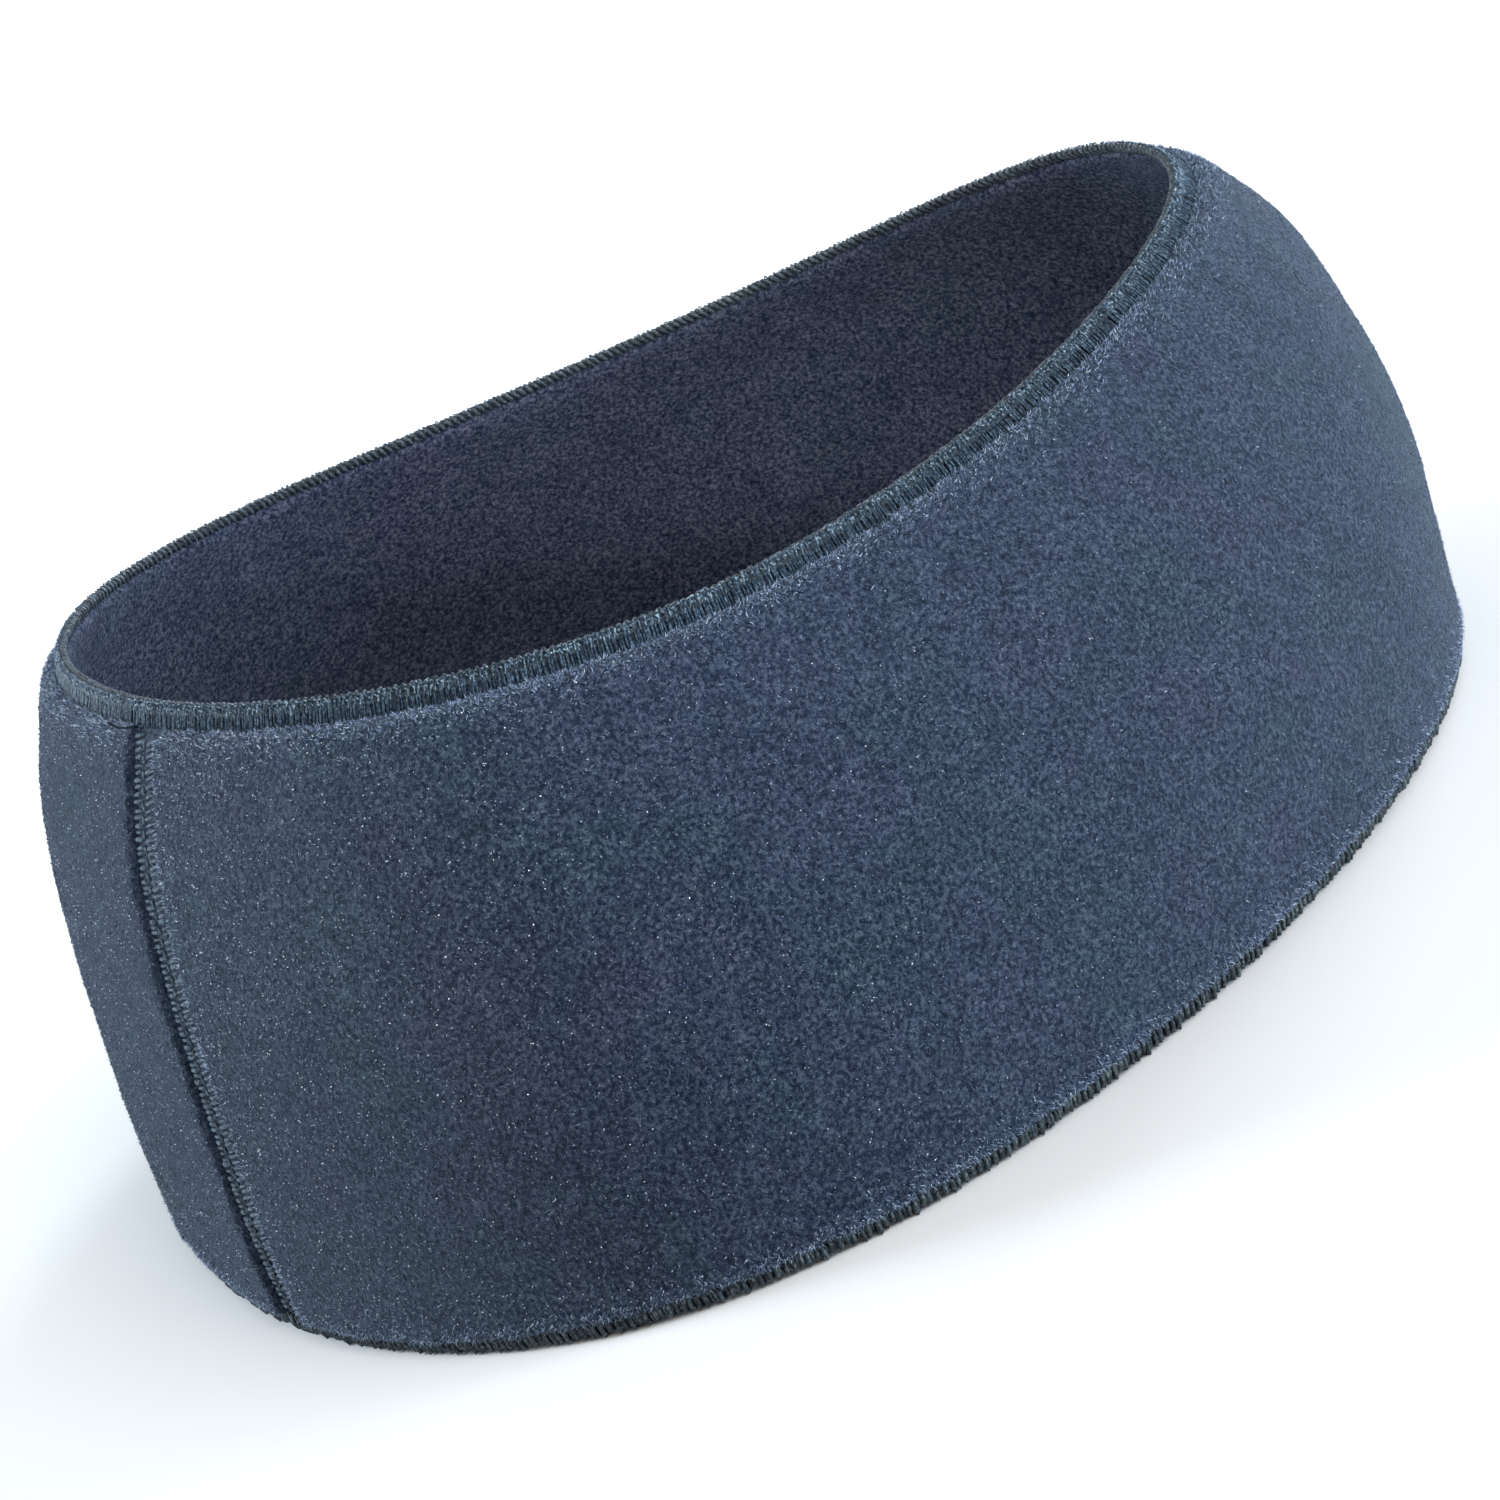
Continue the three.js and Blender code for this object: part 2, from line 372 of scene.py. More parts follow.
def face_rows(face, middle_rows):
    """Rows from the rim down, fine beside thread, as distances below the rim and shares of the height."""
    past = np.array([-0.25, 0, 0.25, 0.5, 0.8, 1.15, 1.6, 2.2, 3.0, 4.0])
    sewn_top = np.linspace(min(FLEECE_EDGE, face["top_free"] - 0.6), face["top_free"] - 0.35, 4)
    sewn_bottom = np.linspace(FLEECE_EDGE, face["bottom_free"] - 0.6, 3)
    top = np.concatenate([sewn_top, face["top_free"] + past])
    bottom = np.concatenate([sewn_bottom, face["bottom_free"] + past])
    shares = np.linspace(0, 1, middle_rows + 2)[1:-1]
    below = np.concatenate([top, top[-1] * (1 - shares) - bottom[-1] * shares, -bottom[::-1]])
    height_share = np.concatenate([np.zeros(len(top)), shares, np.ones(len(bottom))])
    return below, height_share


def fleece_mesh(materials):
    seam_steps = np.concatenate([[0.2], np.arange(0.7, SEAM_ZONE, 0.35)])
    open_steps = np.linspace(SEAM_ZONE, LOOP_LENGTH - SEAM_ZONE, 440)
    distances = np.concatenate([seam_steps, open_steps, LOOP_LENGTH - seam_steps[::-1]])
    rings = []
    for face, middle_rows in ((OUTER, 56), (INNER, 36)):
        below, height_share = face_rows(face, middle_rows)
        points, _, _ = fleece_point(face, distances[:, None], below[None, :], height_share[None, :])
        rings.append(points if face is OUTER else points[:, ::-1])
    outer_rows = rings[0].shape[1]
    points = np.concatenate(rings, axis=1)
    faces = grid_faces(*points.shape[:2])
    piece = mesh_piece(
        "fleece", points.reshape(-1, 3), faces.tolist(), materials, ["fleece_band"])
    row_of_face = np.arange(len(faces)) % points.shape[1]
    piece.data.polygons.foreach_set("material_index", (row_of_face >= outer_rows).astype(np.int32))
    return piece


def tubes(paths, radii, aside, sides=6):
    """Closed strands: paths is (strands, points, 3), and aside a direction across each strand."""
    count, steps = paths.shape[:2]
    ahead = unit(np.gradient(paths, axis=1))
    aside = np.broadcast_to(aside, paths.shape)
    across = unit(aside - (aside * ahead).sum(axis=-1, keepdims=True) * ahead)
    outwards = np.cross(ahead, across)
    turn = np.arange(sides) / sides * FULL_TURN
    ring = across[:, :, None] * np.cos(turn)[:, None] + outwards[:, :, None] * np.sin(turn)[:, None]
    points = paths[:, :, None] + ring * np.broadcast_to(radii, (count, steps))[..., None, None]
    first = np.arange(count)[:, None, None] * steps * sides
    step = np.arange(steps - 1)[:, None] * sides
    side = np.arange(sides)
    here = first + step + side
    beside = first + step + (side + 1) % sides
    quads = np.stack([here, beside, beside + sides, here + sides], axis=-1).reshape(-1, 4)
    start_caps = (first[:, 0] + side[::-1]).tolist()
    end_caps = (first[:, 0] + (steps - 1) * sides + side).tolist()
    return points.reshape(-1, 3), quads.tolist() + start_caps + end_caps


def joined(parts):
    """One mesh's points and faces from several."""
    points = []
    faces = []
    count = 0
    for part_points, part_faces in parts:
        points.append(part_points)
        faces += [[corner + count for corner in face] for face in part_faces]
        count += len(part_points)
    return np.concatenate(points), faces


def wobble(count, size):
    return random.normal(0, size, count)[:, None]


# Thread

def edge_strands(
        section, edge_down, pitch, offset, slant, radius, from_top, spread=0.05, sides=6, foot=1,
        sway=0):
    """Strands across an edge at even steps. Rows of section are a distance from the edge and a depth.
    slant is how far a strand leans along the edge from its first point to its last, foot thins its start,
    and sway moves its start at random."""
    turns, lengths = length_table(edge_down)
    count = round(lengths[-1] / pitch)
    section = np.array(section, float)
    lean = np.linspace(-0.5, 0.5, len(section)) * slant
    along = (np.arange(count) + offset)[:, None] * lengths[-1] / count + lean + wobble(count, spread)
    along = along + wobble(count, sway) * np.linspace(1, 0, len(section))
    turn = np.interp(along % lengths[-1], lengths, turns)
    distance = section[:, 0] + wobble(count, spread)
    depth = section[:, 1] + wobble(count, spread * 0.5)
    height = rim_height(angle_at(turn, 0.5))
    below = distance if from_top else height - distance
    paths = wall_point(turn, below, depth)
    ahead = wall_point(turn + 0.001, below, depth) - wall_point(turn - 0.001, below, depth)
    radii = radius * np.linspace(foot, 1, len(section))
    radii[[0, -1]] *= 0.6
    return tubes(paths, radii * (1 + wobble(count, 0.08)), unit(ahead), sides)


def lip(crest, rise, centre_depth, half, degrees):
    """Rows of a rounded fold over an edge, from 0 degrees outside over 90 at the crest to 180 inside."""
    fullness = 0.7
    turn = np.radians(degrees)
    across = np.sign(np.cos(turn)) * np.abs(np.cos(turn)) ** fullness
    up = np.abs(np.sin(turn)) ** fullness
    return np.stack([crest + rise * (1 - up), centre_depth - half * across], axis=1).tolist()


TOP_PITCH = 1.1
TOP_CENTRE = (TOP["outer_thread"] + TOP["inner_thread"]) / 2
TOP_HALF = 0.5


def top_outside(material):
    """Legs of the thread on the outside, in three uneven sets, and their small knots in the pile."""
    face = TOP_CENTRE - TOP_HALF
    leg = [[3.6, face + 0.45], [3.3, face], [2.7, face - 0.12], [1.7, face - 0.1], [1.1, face - 0.02]]
    section = leg + lip(0.46, 0.5, TOP_CENTRE, TOP_HALF, [15, 40])
    parts = [
        edge_strands(section, 0, TOP_PITCH, 0, 0.3, 0.23, True, 0.1, 4, foot=0.7, sway=0.16),
        edge_strands(section, 0, TOP_PITCH, 0.34, -0.1, 0.21, True, 0.1, 4, foot=0.75, sway=0.16),
        edge_strands(section, 0, TOP_PITCH, 0.67, 0.12, 0.2, True, 0.1, 4, foot=0.6, sway=0.2),
    ]
    knot = [[3.4, face + 0.4], [3.2, face - 0.1], [3.2, face - 0.1], [3.4, face + 0.4]]
    parts.append(edge_strands(knot, 0, TOP_PITCH, 0.25, 0.7, 0.16, True, 0.08, 4))
    points, faces = joined(parts)
    return mesh_piece(
        "top_overlock_outside", points, faces, material, ["top_overlock"])


def top_crest(material):
    """Strands over the upper half of the outside, and two rows of small knots above them, in a lighter
    finish: painted highlight along the crest.
    """
    face = TOP_CENTRE - TOP_HALF
    over = [[1.9, face + 0.05], [1.5, face - 0.2], [0.95, face - 0.16], [0.62, face - 0.02]]
    high = [[0.64, 1.42], [0.5, 1.24], [0.5, 1.24], [0.64, 1.42]]
    low = [[1.1, 1.28], [0.94, 1.1], [0.98, 1.08], [1.22, 1.22]]
    parts = [
        edge_strands(over, 0, 0.8, 0.1, 0.3, 0.16, True, 0.13, 4, foot=0.6, sway=0.15),
        edge_strands(high, 0, 0.72, 0, 0.4, 0.14, True, 0.07, 4),
        edge_strands(low, 0, 0.64, 0.3, 0.34, 0.12, True, 0.12, 4),
    ]
    points, faces = joined(parts)
    return mesh_piece("top_overlock_crest", points, faces, material)


def top_inside(material):
    """The fold over the edge, whose strands lean, and their short legs on the inside."""
    face = TOP_CENTRE + TOP_HALF
    leg = [[1.55, face - 0.45], [1.3, face - 0.05], [1.0, face]]
    section = leg + lip(0.3, 0.5, TOP_CENTRE, TOP_HALF, [180, 150, 120, 92, 66])
    points, faces = edge_strands(section, 0, TOP_PITCH, 0.2, 1.1, 0.29, True, 0.035, 6)
    return mesh_piece(
        "top_overlock_inside", points, faces, material, ["top_overlock"])


def top_core(material):
    """Dark tube that lies along the edge inside the fold, seen between its strands: painted shade in the
    gaps.
    """
    turns = np.linspace(0, 1, 361)
    paths = [wall_point(turns, 0.82, TOP_CENTRE), wall_point(turns, 1.5, TOP_CENTRE - 0.15)]
    aside = np.broadcast_to([0.0, 0.0, 1.0], (2, len(turns), 3))
    points, faces = tubes(np.array(paths), np.full(len(turns), 0.6), aside, 8)
    return mesh_piece("top_overlock_core", points, faces, material)


BOTTOM_PITCH = 1.05


def bottom_overlock(material):
    centre = (BOTTOM["outer_thread"] + BOTTOM["inner_thread"]) / 2
    half = centre - BOTTOM["outer_thread"] + 0.1
    outer_leg = [[2.3, centre - half + 0.7], [2.0, centre - half + 0.02]]
    inner_leg = [[2.9, centre + half - 0.05], [3.1, centre + half - 0.7]]
    fold = lip(0.42, 1.0, centre, half, [0, 45, 90, 135, 180])
    section = outer_leg + fold + inner_leg
    strands = edge_strands(section, 1, BOTTOM_PITCH, 0, 0.6, 0.37, False, 0.15, 4)
    sunk = [[distance + 0.15, centre + (depth - centre) * 0.82] for distance, depth in section]
    between = edge_strands(sunk, 1, BOTTOM_PITCH, 0.5, 0.6, 0.3, False, 0.08, 4)
    points, faces = joined([strands, between])
    points[:, 2] = np.maximum(points[:, 2], 0)
    return mesh_piece(
        "bottom_overlock_thread", points, faces, material, ["bottom_overlock"])


SEAM_PITCH = 1.7


# How deep the middle of a strand of the seam lies in its thread, and how far the outer ones are raised
STRAND_DEPTH = 0.3
OUTER_RAISE = 0.35


def seam_strands(rows, offset, section, radius, face, spread):
    """Strands beside the seam. Rows of section are a distance along the wall, a drop and a lift."""
    section = np.array(section, float)
    below = rows[:, None] + (offset + section[:, 1]) * SEAM_PITCH + wobble(len(rows), spread)
    along = section[:, 0] + wobble(len(rows), spread)
    height = rim_height(angle_at(0, 0.5))
    turn = along * turns_per_mm(below / height)
    if face is OUTER:
        thread = SEAM["outer_thread"] - OUTER_RAISE
    else:
        thread = SEAM["inner_thread"]
    depth = thread + face["side"] * (STRAND_DEPTH - section[:, 2]) + np.zeros_like(turn)
    paths = wall_point(turn, below, depth)
    upwards = np.broadcast_to([0.0, 0.0, 1.0], paths.shape)
    ends = np.linspace(-1, 1, len(section))
    radii = radius * np.sqrt(1 - 0.8 * ends ** 4)
    return tubes(paths, radii * (1 + wobble(len(rows), 0.12)), upwards, 8)


SEAM_END = 0.8
SEAM_BAR = [
    [-2.8, 0.1, -0.5], [-2.4, 0.06, -0.12], [-1.8, 0, 0.05], [-1.2, -0.06, 0.05], [-0.6, -0.12, -0.3]]
SEAM_RUNG = [[0, 0.2, -0.35], [0.5, 0.1, -0.05], [1.1, 0, 0.05], [1.9, -0.12, 0], [2.5, -0.2, -0.4]]
SEAM_KNOT = [[-0.9, -0.36, -0.2], [-0.5, -0.2, 0], [-0.3, 0.1, 0.02], [-0.4, 0.36, -0.25]]


def seam_thread(name, face, material, node):
    """Two columns of short strands, the bars and the rungs, and the knots between them."""
    if face is OUTER:
        top_reach, bottom_reach = TOP_REACH_OUTSIDE, BOTTOM_REACH_OUTSIDE
    else:
        top_reach, bottom_reach = TOP_REACH_INSIDE, BOTTOM_REACH_INSIDE
    height = rim_height(angle_at(0, 0.5))
    rows = np.arange(top_reach + SEAM_END, height - bottom_reach - SEAM_END, SEAM_PITCH)
    parts = [
        seam_strands(rows, -0.16, SEAM_BAR, 0.34, face, 0.1),
        seam_strands(rows, 0.34, SEAM_BAR, 0.3, face, 0.1),
        seam_strands(rows, 0.24, SEAM_RUNG, 0.3, face, 0.1),
        seam_strands(rows, 0.74, SEAM_RUNG, 0.27, face, 0.1),
        seam_strands(rows, 0.52, SEAM_KNOT, 0.22, face, 0.1),
    ]
    points, faces = joined(parts)
    return mesh_piece(name, points, faces, material, [node])


def thread_tail(material):
    """Short loose end that lies on the pile below the rim beside the seam."""
    steps = 9
    radius = 0.17
    along = np.linspace(-8.6, -0.4, steps)
    below = 3.35 + 0.25 * np.sin(np.linspace(0, 4, steps))
    depth = -0.75 + 0.12 * np.cos(np.linspace(0, 5, steps))
    down = below / rim_height(angle_at(0, 0.5))
    path = wall_point(along * turns_per_mm(down), below, depth)
    upwards = np.broadcast_to([0.0, 0.0, 1.0], path.shape)
    points, faces = tubes(path[None], np.full(steps, radius), upwards[None])
    return mesh_piece("thread_tail", points, faces, material)


# Pile

def tufts(
        face, distance, below, height_share, lengths, widths, lifts, heading=0, spread=180,
        proud=0.03):
    """Short tufts rooted on one face: closed slivers with three sides and a pointed tip. They lean by
    lifts off the face, in directions spread round heading, in degrees from the one towards the rim, and
    stand proud of it."""
    roots, normals, open_share = fleece_point(face, distance, below, height_share)
    keep = open_share > 0.15
    roots, normals = roots[keep], normals[keep]
    count = len(roots)
    level = unit(np.cross([0.0, 0.0, 1.0], normals))
    upwards = np.cross(normals, level)
    turn = np.radians(random.uniform(heading - spread, heading + spread, count))[:, None]
    lift = np.radians(random.uniform(*lifts, count))[:, None]
    flat = upwards * np.cos(turn) + level * np.sin(turn)
    across = np.cross(normals, flat)
    ahead = flat * np.cos(lift) + normals * np.sin(lift)
    width = random.uniform(*widths, count)[:, None]
    length = random.uniform(*lengths, count)[:, None]
    base = roots + normals * (proud - width * 0.6)
    points = np.stack([
        base + across * width,
        base - across * width,
        base + np.cross(ahead, across) * -width * 1.2,
        base + ahead * length,
    ], axis=1)
    first = np.arange(count)[:, None, None] * 4
    corners = np.array([[0, 1, 2], [0, 3, 1], [1, 3, 2], [2, 3, 0]])
    points[..., 2] = np.maximum(points[..., 2], 0)
    return points.reshape(-1, 3), (first + corners).reshape(-1, 3).tolist()


def pile(name, face, count, material, lengths, widths, lifts):
    distance = random.uniform(0, LOOP_LENGTH, count)
    share = random.uniform(0, 1, count)
    below = face["top_free"] * (1 - share) - face["bottom_free"] * share
    points, faces = tufts(face, distance, below, share, lengths, widths, lifts)
    return mesh_piece(name, points, faces, material)


def glints(name, material, count):
    """Very short near-white tufts, painted glints, thinning out from the seam, more of them on its near
    side.
    """
    mean_distance = 42
    near_share = 0.6
    sizes = ((0.12, 0.30), (0.07, 0.115), (15, 60))
    away = random.exponential(mean_distance, count)
    is_near = random.uniform(0, 1, count) < near_share
    distance = np.where(is_near, away, LOOP_LENGTH - away) % LOOP_LENGTH
    share = random.uniform(0, 1, count)
    below = OUTER["top_free"] * (1 - share) - OUTER["bottom_free"] * share
    points, faces = tufts(OUTER, distance, below, share, *sizes, proud=0.13)
    return mesh_piece(name, points, faces, material)


def fringe(name, material, count):
    """Denser tufts where the open pile meets thread on the outside, leaning over it. Their light colours
    are painted sheen.
    """
    sizes = ((0.35, 0.85), (0.05, 0.095), (15, 60))
    near_top = OUTER["top_free"] + 0.15 + random.exponential(1.0, count)
    near_bottom = -OUTER["bottom_free"] - 0.15 - random.exponential(1.1, count)
    parts = [
        tufts(OUTER, random.uniform(0, LOOP_LENGTH, count), near_top, 0, *sizes, 0, 100),
        tufts(OUTER, random.uniform(0, LOOP_LENGTH, count), near_bottom, 1, *sizes, 180, 90),
    ]
    seam_count = count // 24
    for side in (-1, 1):
        past = SEAM_WIDTH / 2 + SEAM_STRIP + 0.3 + random.exponential(0.6, seam_count)
        distance = past if side < 0 else LOOP_LENGTH - past
        share = random.uniform(0.05, 0.98, seam_count)
        parts.append(tufts(OUTER, distance, 0, share, *sizes, side * 90, 60))
    points, faces = joined(parts)
    return mesh_piece(name, points, faces, material)


# Materials

def new_material(name):
    material = bpy.data.materials.new(name)
    material.use_nodes = True
    return material, material.node_tree.nodes, material.node_tree.links


def noise_node(nodes, links, coordinates, scale, detail=3, roughness=0.55, distortion=0):
    node = nodes.new("ShaderNodeTexNoise")
    node.inputs["Scale"].default_value = scale
    node.inputs["Detail"].default_value = detail
    node.inputs["Roughness"].default_value = roughness
    node.inputs["Distortion"].default_value = distortion
    links.new(coordinates, node.inputs["Vector"])
    return node.outputs["Fac"]


def ramp_node(nodes, links, value, stops):
    """Colour ramp: stops are a position and a colour."""
    node = nodes.new("ShaderNodeValToRGB")
    elements = node.color_ramp.elements
    while len(elements) < len(stops):
        elements.new(0.5)
    for element, (position, colour) in zip(elements, stops):
        element.position = position
        element.color = (*colour, 1)
    links.new(value, node.inputs["Fac"])
    return node.outputs["Color"]


def mix_node(nodes, links, kind, factor, first, second):
    node = nodes.new("ShaderNodeMix")
    node.data_type = "RGBA"
    node.blend_type = kind
    for socket, value in (("Factor", factor), ("A", first), ("B", second)):
        kinds = [s for s in node.inputs if s.name == socket and s.enabled]
        target = kinds[0]
        if isinstance(value, bpy.types.NodeSocket):
            links.new(value, target)
        elif socket == "Factor":
            target.default_value = value
        else:
            target.default_value = (*value, 1)
    return [s for s in node.outputs if s.enabled][0]


def bump_node(nodes, links, height, strength, distance, normal=None):
    node = nodes.new("ShaderNodeBump")
    node.inputs["Strength"].default_value = strength
    node.inputs["Distance"].default_value = distance
    links.new(height, node.inputs["Height"])
    if normal is not None:
        links.new(normal, node.inputs["Normal"])
    return node.outputs["Normal"]


def fleece_material(name, blue, teal, violet, sheen):
    material, nodes, links = new_material(name)
    shader = nodes["Principled BSDF"]
    place = nodes.new("ShaderNodeTexCoord").outputs["Object"]
    patches = noise_node(nodes, links, place, 60, 4, 0.65)
    body = ramp_node(nodes, links, patches, [(0.38, teal), (0.5, blue), (0.62, violet)])
    drift = noise_node(nodes, links, place, 150, 4, 0.65, 0.3)
    clouds = ramp_node(nodes, links, drift, [(0.32, (0.82, 0.84, 0.87)), (0.68, (1.18, 1.16, 1.13))])
    body = mix_node(nodes, links, "MULTIPLY", 1.0, body, clouds)
    # Fine grain: the same noise raises the bump, and this ramp darkens the colour in its hollows and
    # lightens it on its tops, so real grain carries painted shade and a painted highlight
    pebbles = noise_node(nodes, links, place, 1650, 5, 0.7, 0.3)
    shade = ramp_node(nodes, links, pebbles, [
        (0.39, (0.16, 0.22, 0.34)), (0.5, (0.86, 0.88, 0.92)), (0.61, (2.5, 2.15, 1.75))])
    body = mix_node(nodes, links, "MULTIPLY", 1.0, body, shade)
    fibres = noise_node(nodes, links, place, 3000, 2, 0.55, 1.6)
    strands = ramp_node(nodes, links, fibres, [
        (0.43, (0.70, 0.73, 0.79)), (0.5, (1.9, 1.75, 1.55)), (0.57, (0.70, 0.73, 0.79))])
    body = mix_node(nodes, links, "MULTIPLY", 1.0, body, strands)
    links.new(body, shader.inputs["Base Color"])
    normal = bump_node(nodes, links, pebbles, 1.0, 0.0010)
    normal = bump_node(nodes, links, fibres, 0.8, 0.0004, normal)
    links.new(normal, shader.inputs["Normal"])
    shader.inputs["Roughness"].default_value = 0.92
    shader.inputs["Specular IOR Level"].default_value = 0.1
    shader.inputs["Sheen Weight"].default_value = sheen
    shader.inputs["Sheen Roughness"].default_value = 0.25
    shader.inputs["Sheen Tint"].default_value = (0.72, 0.90, 1, 1)
    return material


def tuft_material(name, dark, blue, light, glint, sheen):
    material, nodes, links = new_material(name)
    shader = nodes["Principled BSDF"]
    place = nodes.new("ShaderNodeTexCoord").outputs["Object"]
    own_tone = nodes.new("ShaderNodeNewGeometry").outputs["Random Per Island"]
    # The last tone, glint, puts a near-white colour on a few tufts: painted highlights
    tones = [(0.15, dark), (0.5, blue), (0.84, light), (0.95, glint)]
    colour = ramp_node(nodes, links, own_tone, tones)
    change = noise_node(nodes, links, place, 900, 3, 0.65)
    clouds = ramp_node(nodes, links, change, [(0.36, (0.6, 0.65, 0.72)), (0.64, (1.35, 1.3, 1.25))])
    colour = mix_node(nodes, links, "MULTIPLY", 1.0, colour, clouds)
    links.new(colour, shader.inputs["Base Color"])
    shader.inputs["Roughness"].default_value = 0.5
    shader.inputs["Specular IOR Level"].default_value = 0.3
    shader.inputs["Sheen Weight"].default_value = sheen
    shader.inputs["Sheen Roughness"].default_value = 0.25
    shader.inputs["Sheen Tint"].default_value = (0.72, 0.90, 1, 1)
    return material


def thread_material(name, dark, mid, light, gloss=0.25):
    material, nodes, links = new_material(name)
    shader = nodes["Principled BSDF"]
    place = nodes.new("ShaderNodeTexCoord").outputs["Object"]
    # Fine noise from dark to light: its light end stands in for glints on the thread, painted highlights
    change = noise_node(nodes, links, place, 2600, 4, 0.7)
    colour = ramp_node(nodes, links, change, [(0.38, dark), (0.5, mid), (0.64, light)])
    clusters = noise_node(nodes, links, place, 620, 2, 0.5)
    shade = ramp_node(nodes, links, clusters, [(0.36, (0.6, 0.62, 0.66)), (0.64, (1.3, 1.3, 1.28))])
    colour = mix_node(nodes, links, "MULTIPLY", 1.0, colour, shade)
    links.new(colour, shader.inputs["Base Color"])
    normal = bump_node(nodes, links, noise_node(nodes, links, place, 5200, 3), 0.9, 0.00025)
    links.new(normal, shader.inputs["Normal"])
    shader.inputs["Roughness"].default_value = 0.45
    shader.inputs["Specular IOR Level"].default_value = gloss
    return material


fleece_outside = fleece_material(
    "fleece_outside", (0.032, 0.050, 0.096), (0.030, 0.053, 0.091), (0.035, 0.049, 0.097), 0.34)
# Inside fleece: a lighter copy of the outside's colours, painted light that stands in for light reaching
# the inside
fleece_inside_painted_light = fleece_material(
    "fleece_inside_painted_light", (0.060, 0.079, 0.138), (0.058, 0.080, 0.132), (0.064, 0.077, 0.139), 0.08)
tuft_long = tuft_material(
    "tufts_long", (0.014, 0.025, 0.053), (0.036, 0.056, 0.104), (0.085, 0.120, 0.185),
    (0.150, 0.195, 0.27), 0.1)
tuft_short = tuft_material(
    "tufts_short", (0.012, 0.021, 0.046), (0.042, 0.064, 0.116), (0.170, 0.215, 0.29),
    (0.38, 0.47, 0.59), 0.1)
# Inside tufts: lighter than the outside's, painted light on the inside
tuft_inside_painted_light = tuft_material(
    "tufts_inside_painted_light", (0.030, 0.039, 0.069), (0.054, 0.071, 0.124), (0.088, 0.110, 0.168),
    (0.14, 0.165, 0.23), 0.05)
# Fringe tufts: much lighter colours, painted sheen along the pile's edges
tuft_edge_painted_sheen = tuft_material(
    "tufts_edge_painted_sheen", (0.080, 0.115, 0.200), (0.155, 0.212, 0.335), (0.280, 0.360, 0.490),
    (0.46, 0.55, 0.68), 0.15)
# Bright tufts: near-white colours, painted glints
tuft_painted_glint = tuft_material(
    "tufts_painted_glint", (0.006, 0.012, 0.028), (0.210, 0.275, 0.370), (0.52, 0.62, 0.74),
    (0.90, 0.96, 1.0), 0.1)
overlock_finish = thread_material(
    "overlock_finish", (0.003, 0.009, 0.019), (0.019, 0.039, 0.066), (0.100, 0.155, 0.215))
# Crest strands: lighter than the rest of the thread, painted highlight along the top edge
crest_painted_highlight = thread_material(
    "crest_painted_highlight", (0.020, 0.040, 0.063), (0.072, 0.118, 0.168), (0.36, 0.47, 0.56))
fold_finish = thread_material(
    "fold_finish", (0.011, 0.018, 0.027), (0.038, 0.055, 0.074), (0.130, 0.165, 0.200), 0.5)
# Core: a dark finish for the tube in the fold, painted shade between the strands
core_painted_shade = thread_material(
    "core_painted_shade", (0.005, 0.009, 0.014), (0.012, 0.021, 0.030), (0.036, 0.056, 0.072))
bottom_finish = thread_material(
    "bottom_finish", (0.010, 0.017, 0.024), (0.034, 0.050, 0.062), (0.130, 0.160, 0.180))
seam_finish = thread_material(
    "seam_finish", (0.018, 0.031, 0.048), (0.046, 0.073, 0.106), (0.130, 0.180, 0.230))
tail_finish = thread_material(
    "tail_finish", (0.001, 0.003, 0.007), (0.003, 0.008, 0.015), (0.010, 0.019, 0.030), 0.02)

# Pieces
fleece = fleece_mesh([fleece_outside, fleece_inside_painted_light])
edge_top = top_outside(overlock_finish)
edge_top_inner = top_inside(fold_finish)
edge_crest = top_crest(crest_painted_highlight)
edge_core = top_core(core_painted_shade)
edge_bottom = bottom_overlock(bottom_finish)
seam_out = seam_thread("seam_thread_outside", OUTER, seam_finish, "seam_stitch_outer")
seam_in = seam_thread("seam_thread_inside", INNER, seam_finish, "seam_stitch_inner")
tail = thread_tail(tail_finish)
tufts_out = pile("pile_outside", OUTER, 28000, tuft_long, (0.4, 1.0), (0.055, 0.095), (5, 35))
tufts_more = pile("pile_outside_short", OUTER, 38000, tuft_short, (0.16, 0.42), (0.055, 0.09), (10, 50))
tufts_in = pile("pile_inside", INNER, 22000, tuft_inside_painted_light, (0.5, 1.0), (0.06, 0.10), (5, 35))
tufts_glint = glints("pile_glints", tuft_painted_glint, 13000)
tufts_edge_painted_sheen = fringe("pile_fringe", tuft_edge_painted_sheen, 14000)


# Floor, light and camera

def floor():
    half = 5.0
    corners = [(-half, -half, 0), (half, -half, 0), (half, half, 0), (-half, half, 0)]
    mesh = bpy.data.meshes.new("floor")
    mesh.from_pydata(corners, [], [(0, 1, 2, 3)])
    material, nodes, links = new_material("floor_finish")
    shader = nodes["Principled BSDF"]
    shader.inputs["Base Color"].default_value = (0.92, 0.92, 0.92, 1)
    shader.inputs["Roughness"].default_value = 0.9
    shader.inputs["Specular IOR Level"].default_value = 0.1
    mesh.materials.append(material)
    piece = bpy.data.objects.new("floor", mesh)
    bpy.context.scene.collection.objects.link(piece)


def lamp(kind, name, place, target, energy):
    light = bpy.data.lights.new(name, kind)
    light.energy = energy
    piece = bpy.data.objects.new(name, light)
    piece.location = place
    piece.rotation_euler = (Vector(target) - Vector(place)).to_track_quat("-Z", "Y").to_euler()
    bpy.context.scene.collection.objects.link(piece)
    return light


COOL_WHITE = (0.78, 0.90, 1.0)


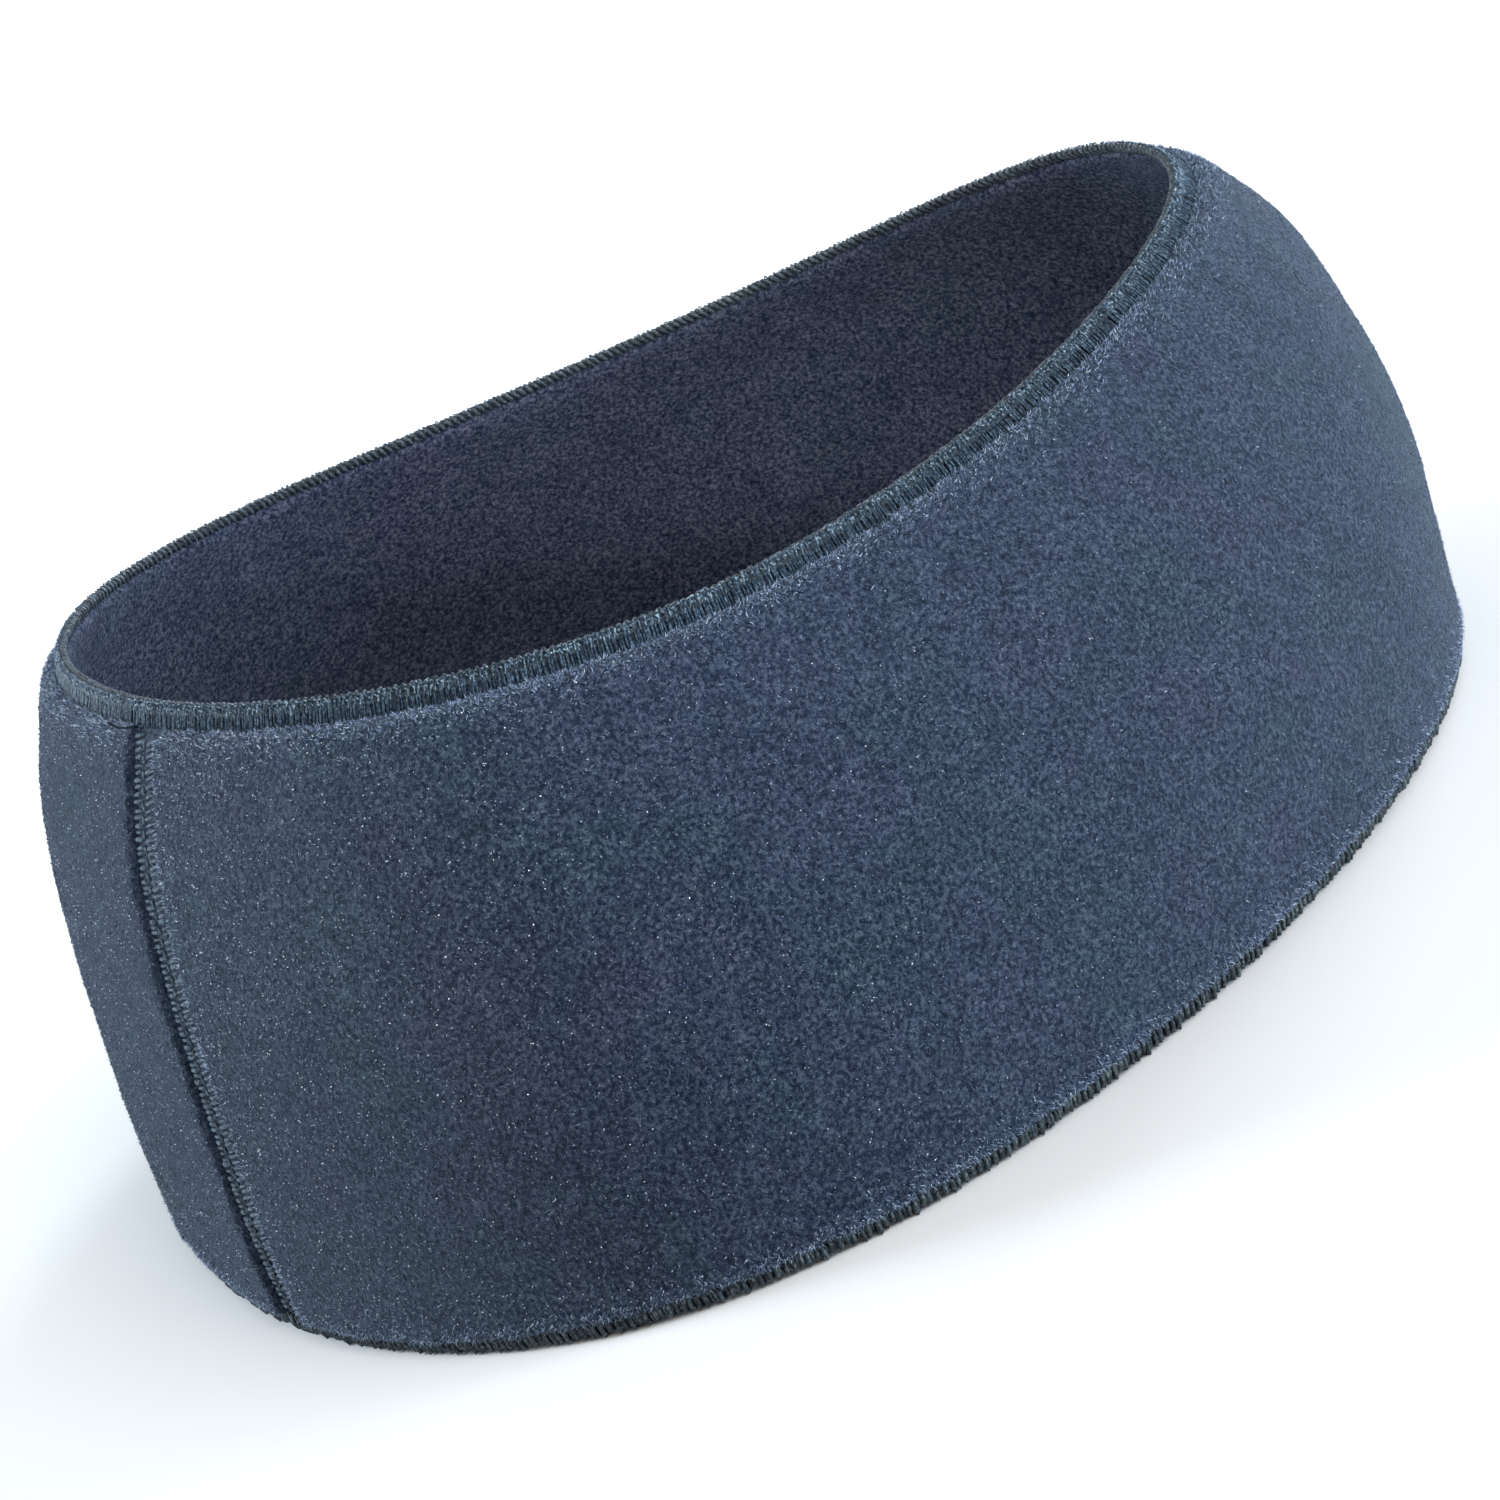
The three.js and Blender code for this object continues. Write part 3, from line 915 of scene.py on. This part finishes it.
def area_light(name, place, target, size, power):
    light = lamp("AREA", name, place, target, power)
    light.shape = "DISK"
    light.size = size
    light.color = COOL_WHITE


floor()
middle = (0, 0, 0.04)
key_light = lamp("SUN", "key_light", (0.5, -0.95, 0.92), middle, 1.38)
key_light.angle = math.radians(50)
area_light("left_light", (-1.05, 0.9, 0.5), middle, 0.6, 23)
area_light("right_light", (1.1, 0.8, 0.5), middle, 0.6, 13)
area_light("front_light", (1.2, -0.9, 0.22), middle, 0.5, 27)

# A narrow light through the opening, on the upper part of the far wall's inside
inside_light = lamp("SPOT", "inside_light", (-0.5, -0.6, 0.31), (0.045, 0.066, 0.078), 24)
inside_light.spot_size = math.radians(12)
inside_light.spot_blend = 1
inside_light.shadow_soft_size = 0.06

world = bpy.data.worlds.new("world")
bpy.context.scene.world = world
world.use_nodes = True
sky = world.node_tree.nodes["Background"]
sky.inputs["Color"].default_value = (1, 1, 1, 1)
sky.inputs["Strength"].default_value = 0.5

# Viewing angle of the photograph, with the tilt in the picture given by a roll of the camera
AZIMUTH = math.radians(-17.499)
ELEVATION = math.radians(18.641)
ROLL = math.radians(-25.274)
CAMERA_DISTANCE = 0.698
CAMERA_TARGET = Vector(((-5.925 + LOOP_SHIFT) * MM, 0.00002, 0.02906))
LENS = 119.78

back = Vector((
    math.sin(AZIMUTH) * math.cos(ELEVATION),
    -math.cos(AZIMUTH) * math.cos(ELEVATION),
    math.sin(ELEVATION)))
right = Vector((0, 0, 1)).cross(back).normalized()
above = back.cross(right)
camera_data = bpy.data.cameras.new("camera")
camera_data.sensor_width = 36
camera_data.lens = LENS
camera_data.clip_start = 0.05
camera_data.clip_end = 50
camera = bpy.data.objects.new("camera", camera_data)
bpy.context.scene.collection.objects.link(camera)
facing = Matrix((right, above, back)).transposed().to_4x4()
camera.matrix_world = (
    Matrix.Translation(CAMERA_TARGET + back * CAMERA_DISTANCE) @ facing @ Matrix.Rotation(ROLL, 4, "Z"))
bpy.context.scene.camera = camera
bpy.context.scene.view_settings.view_transform = "Standard"
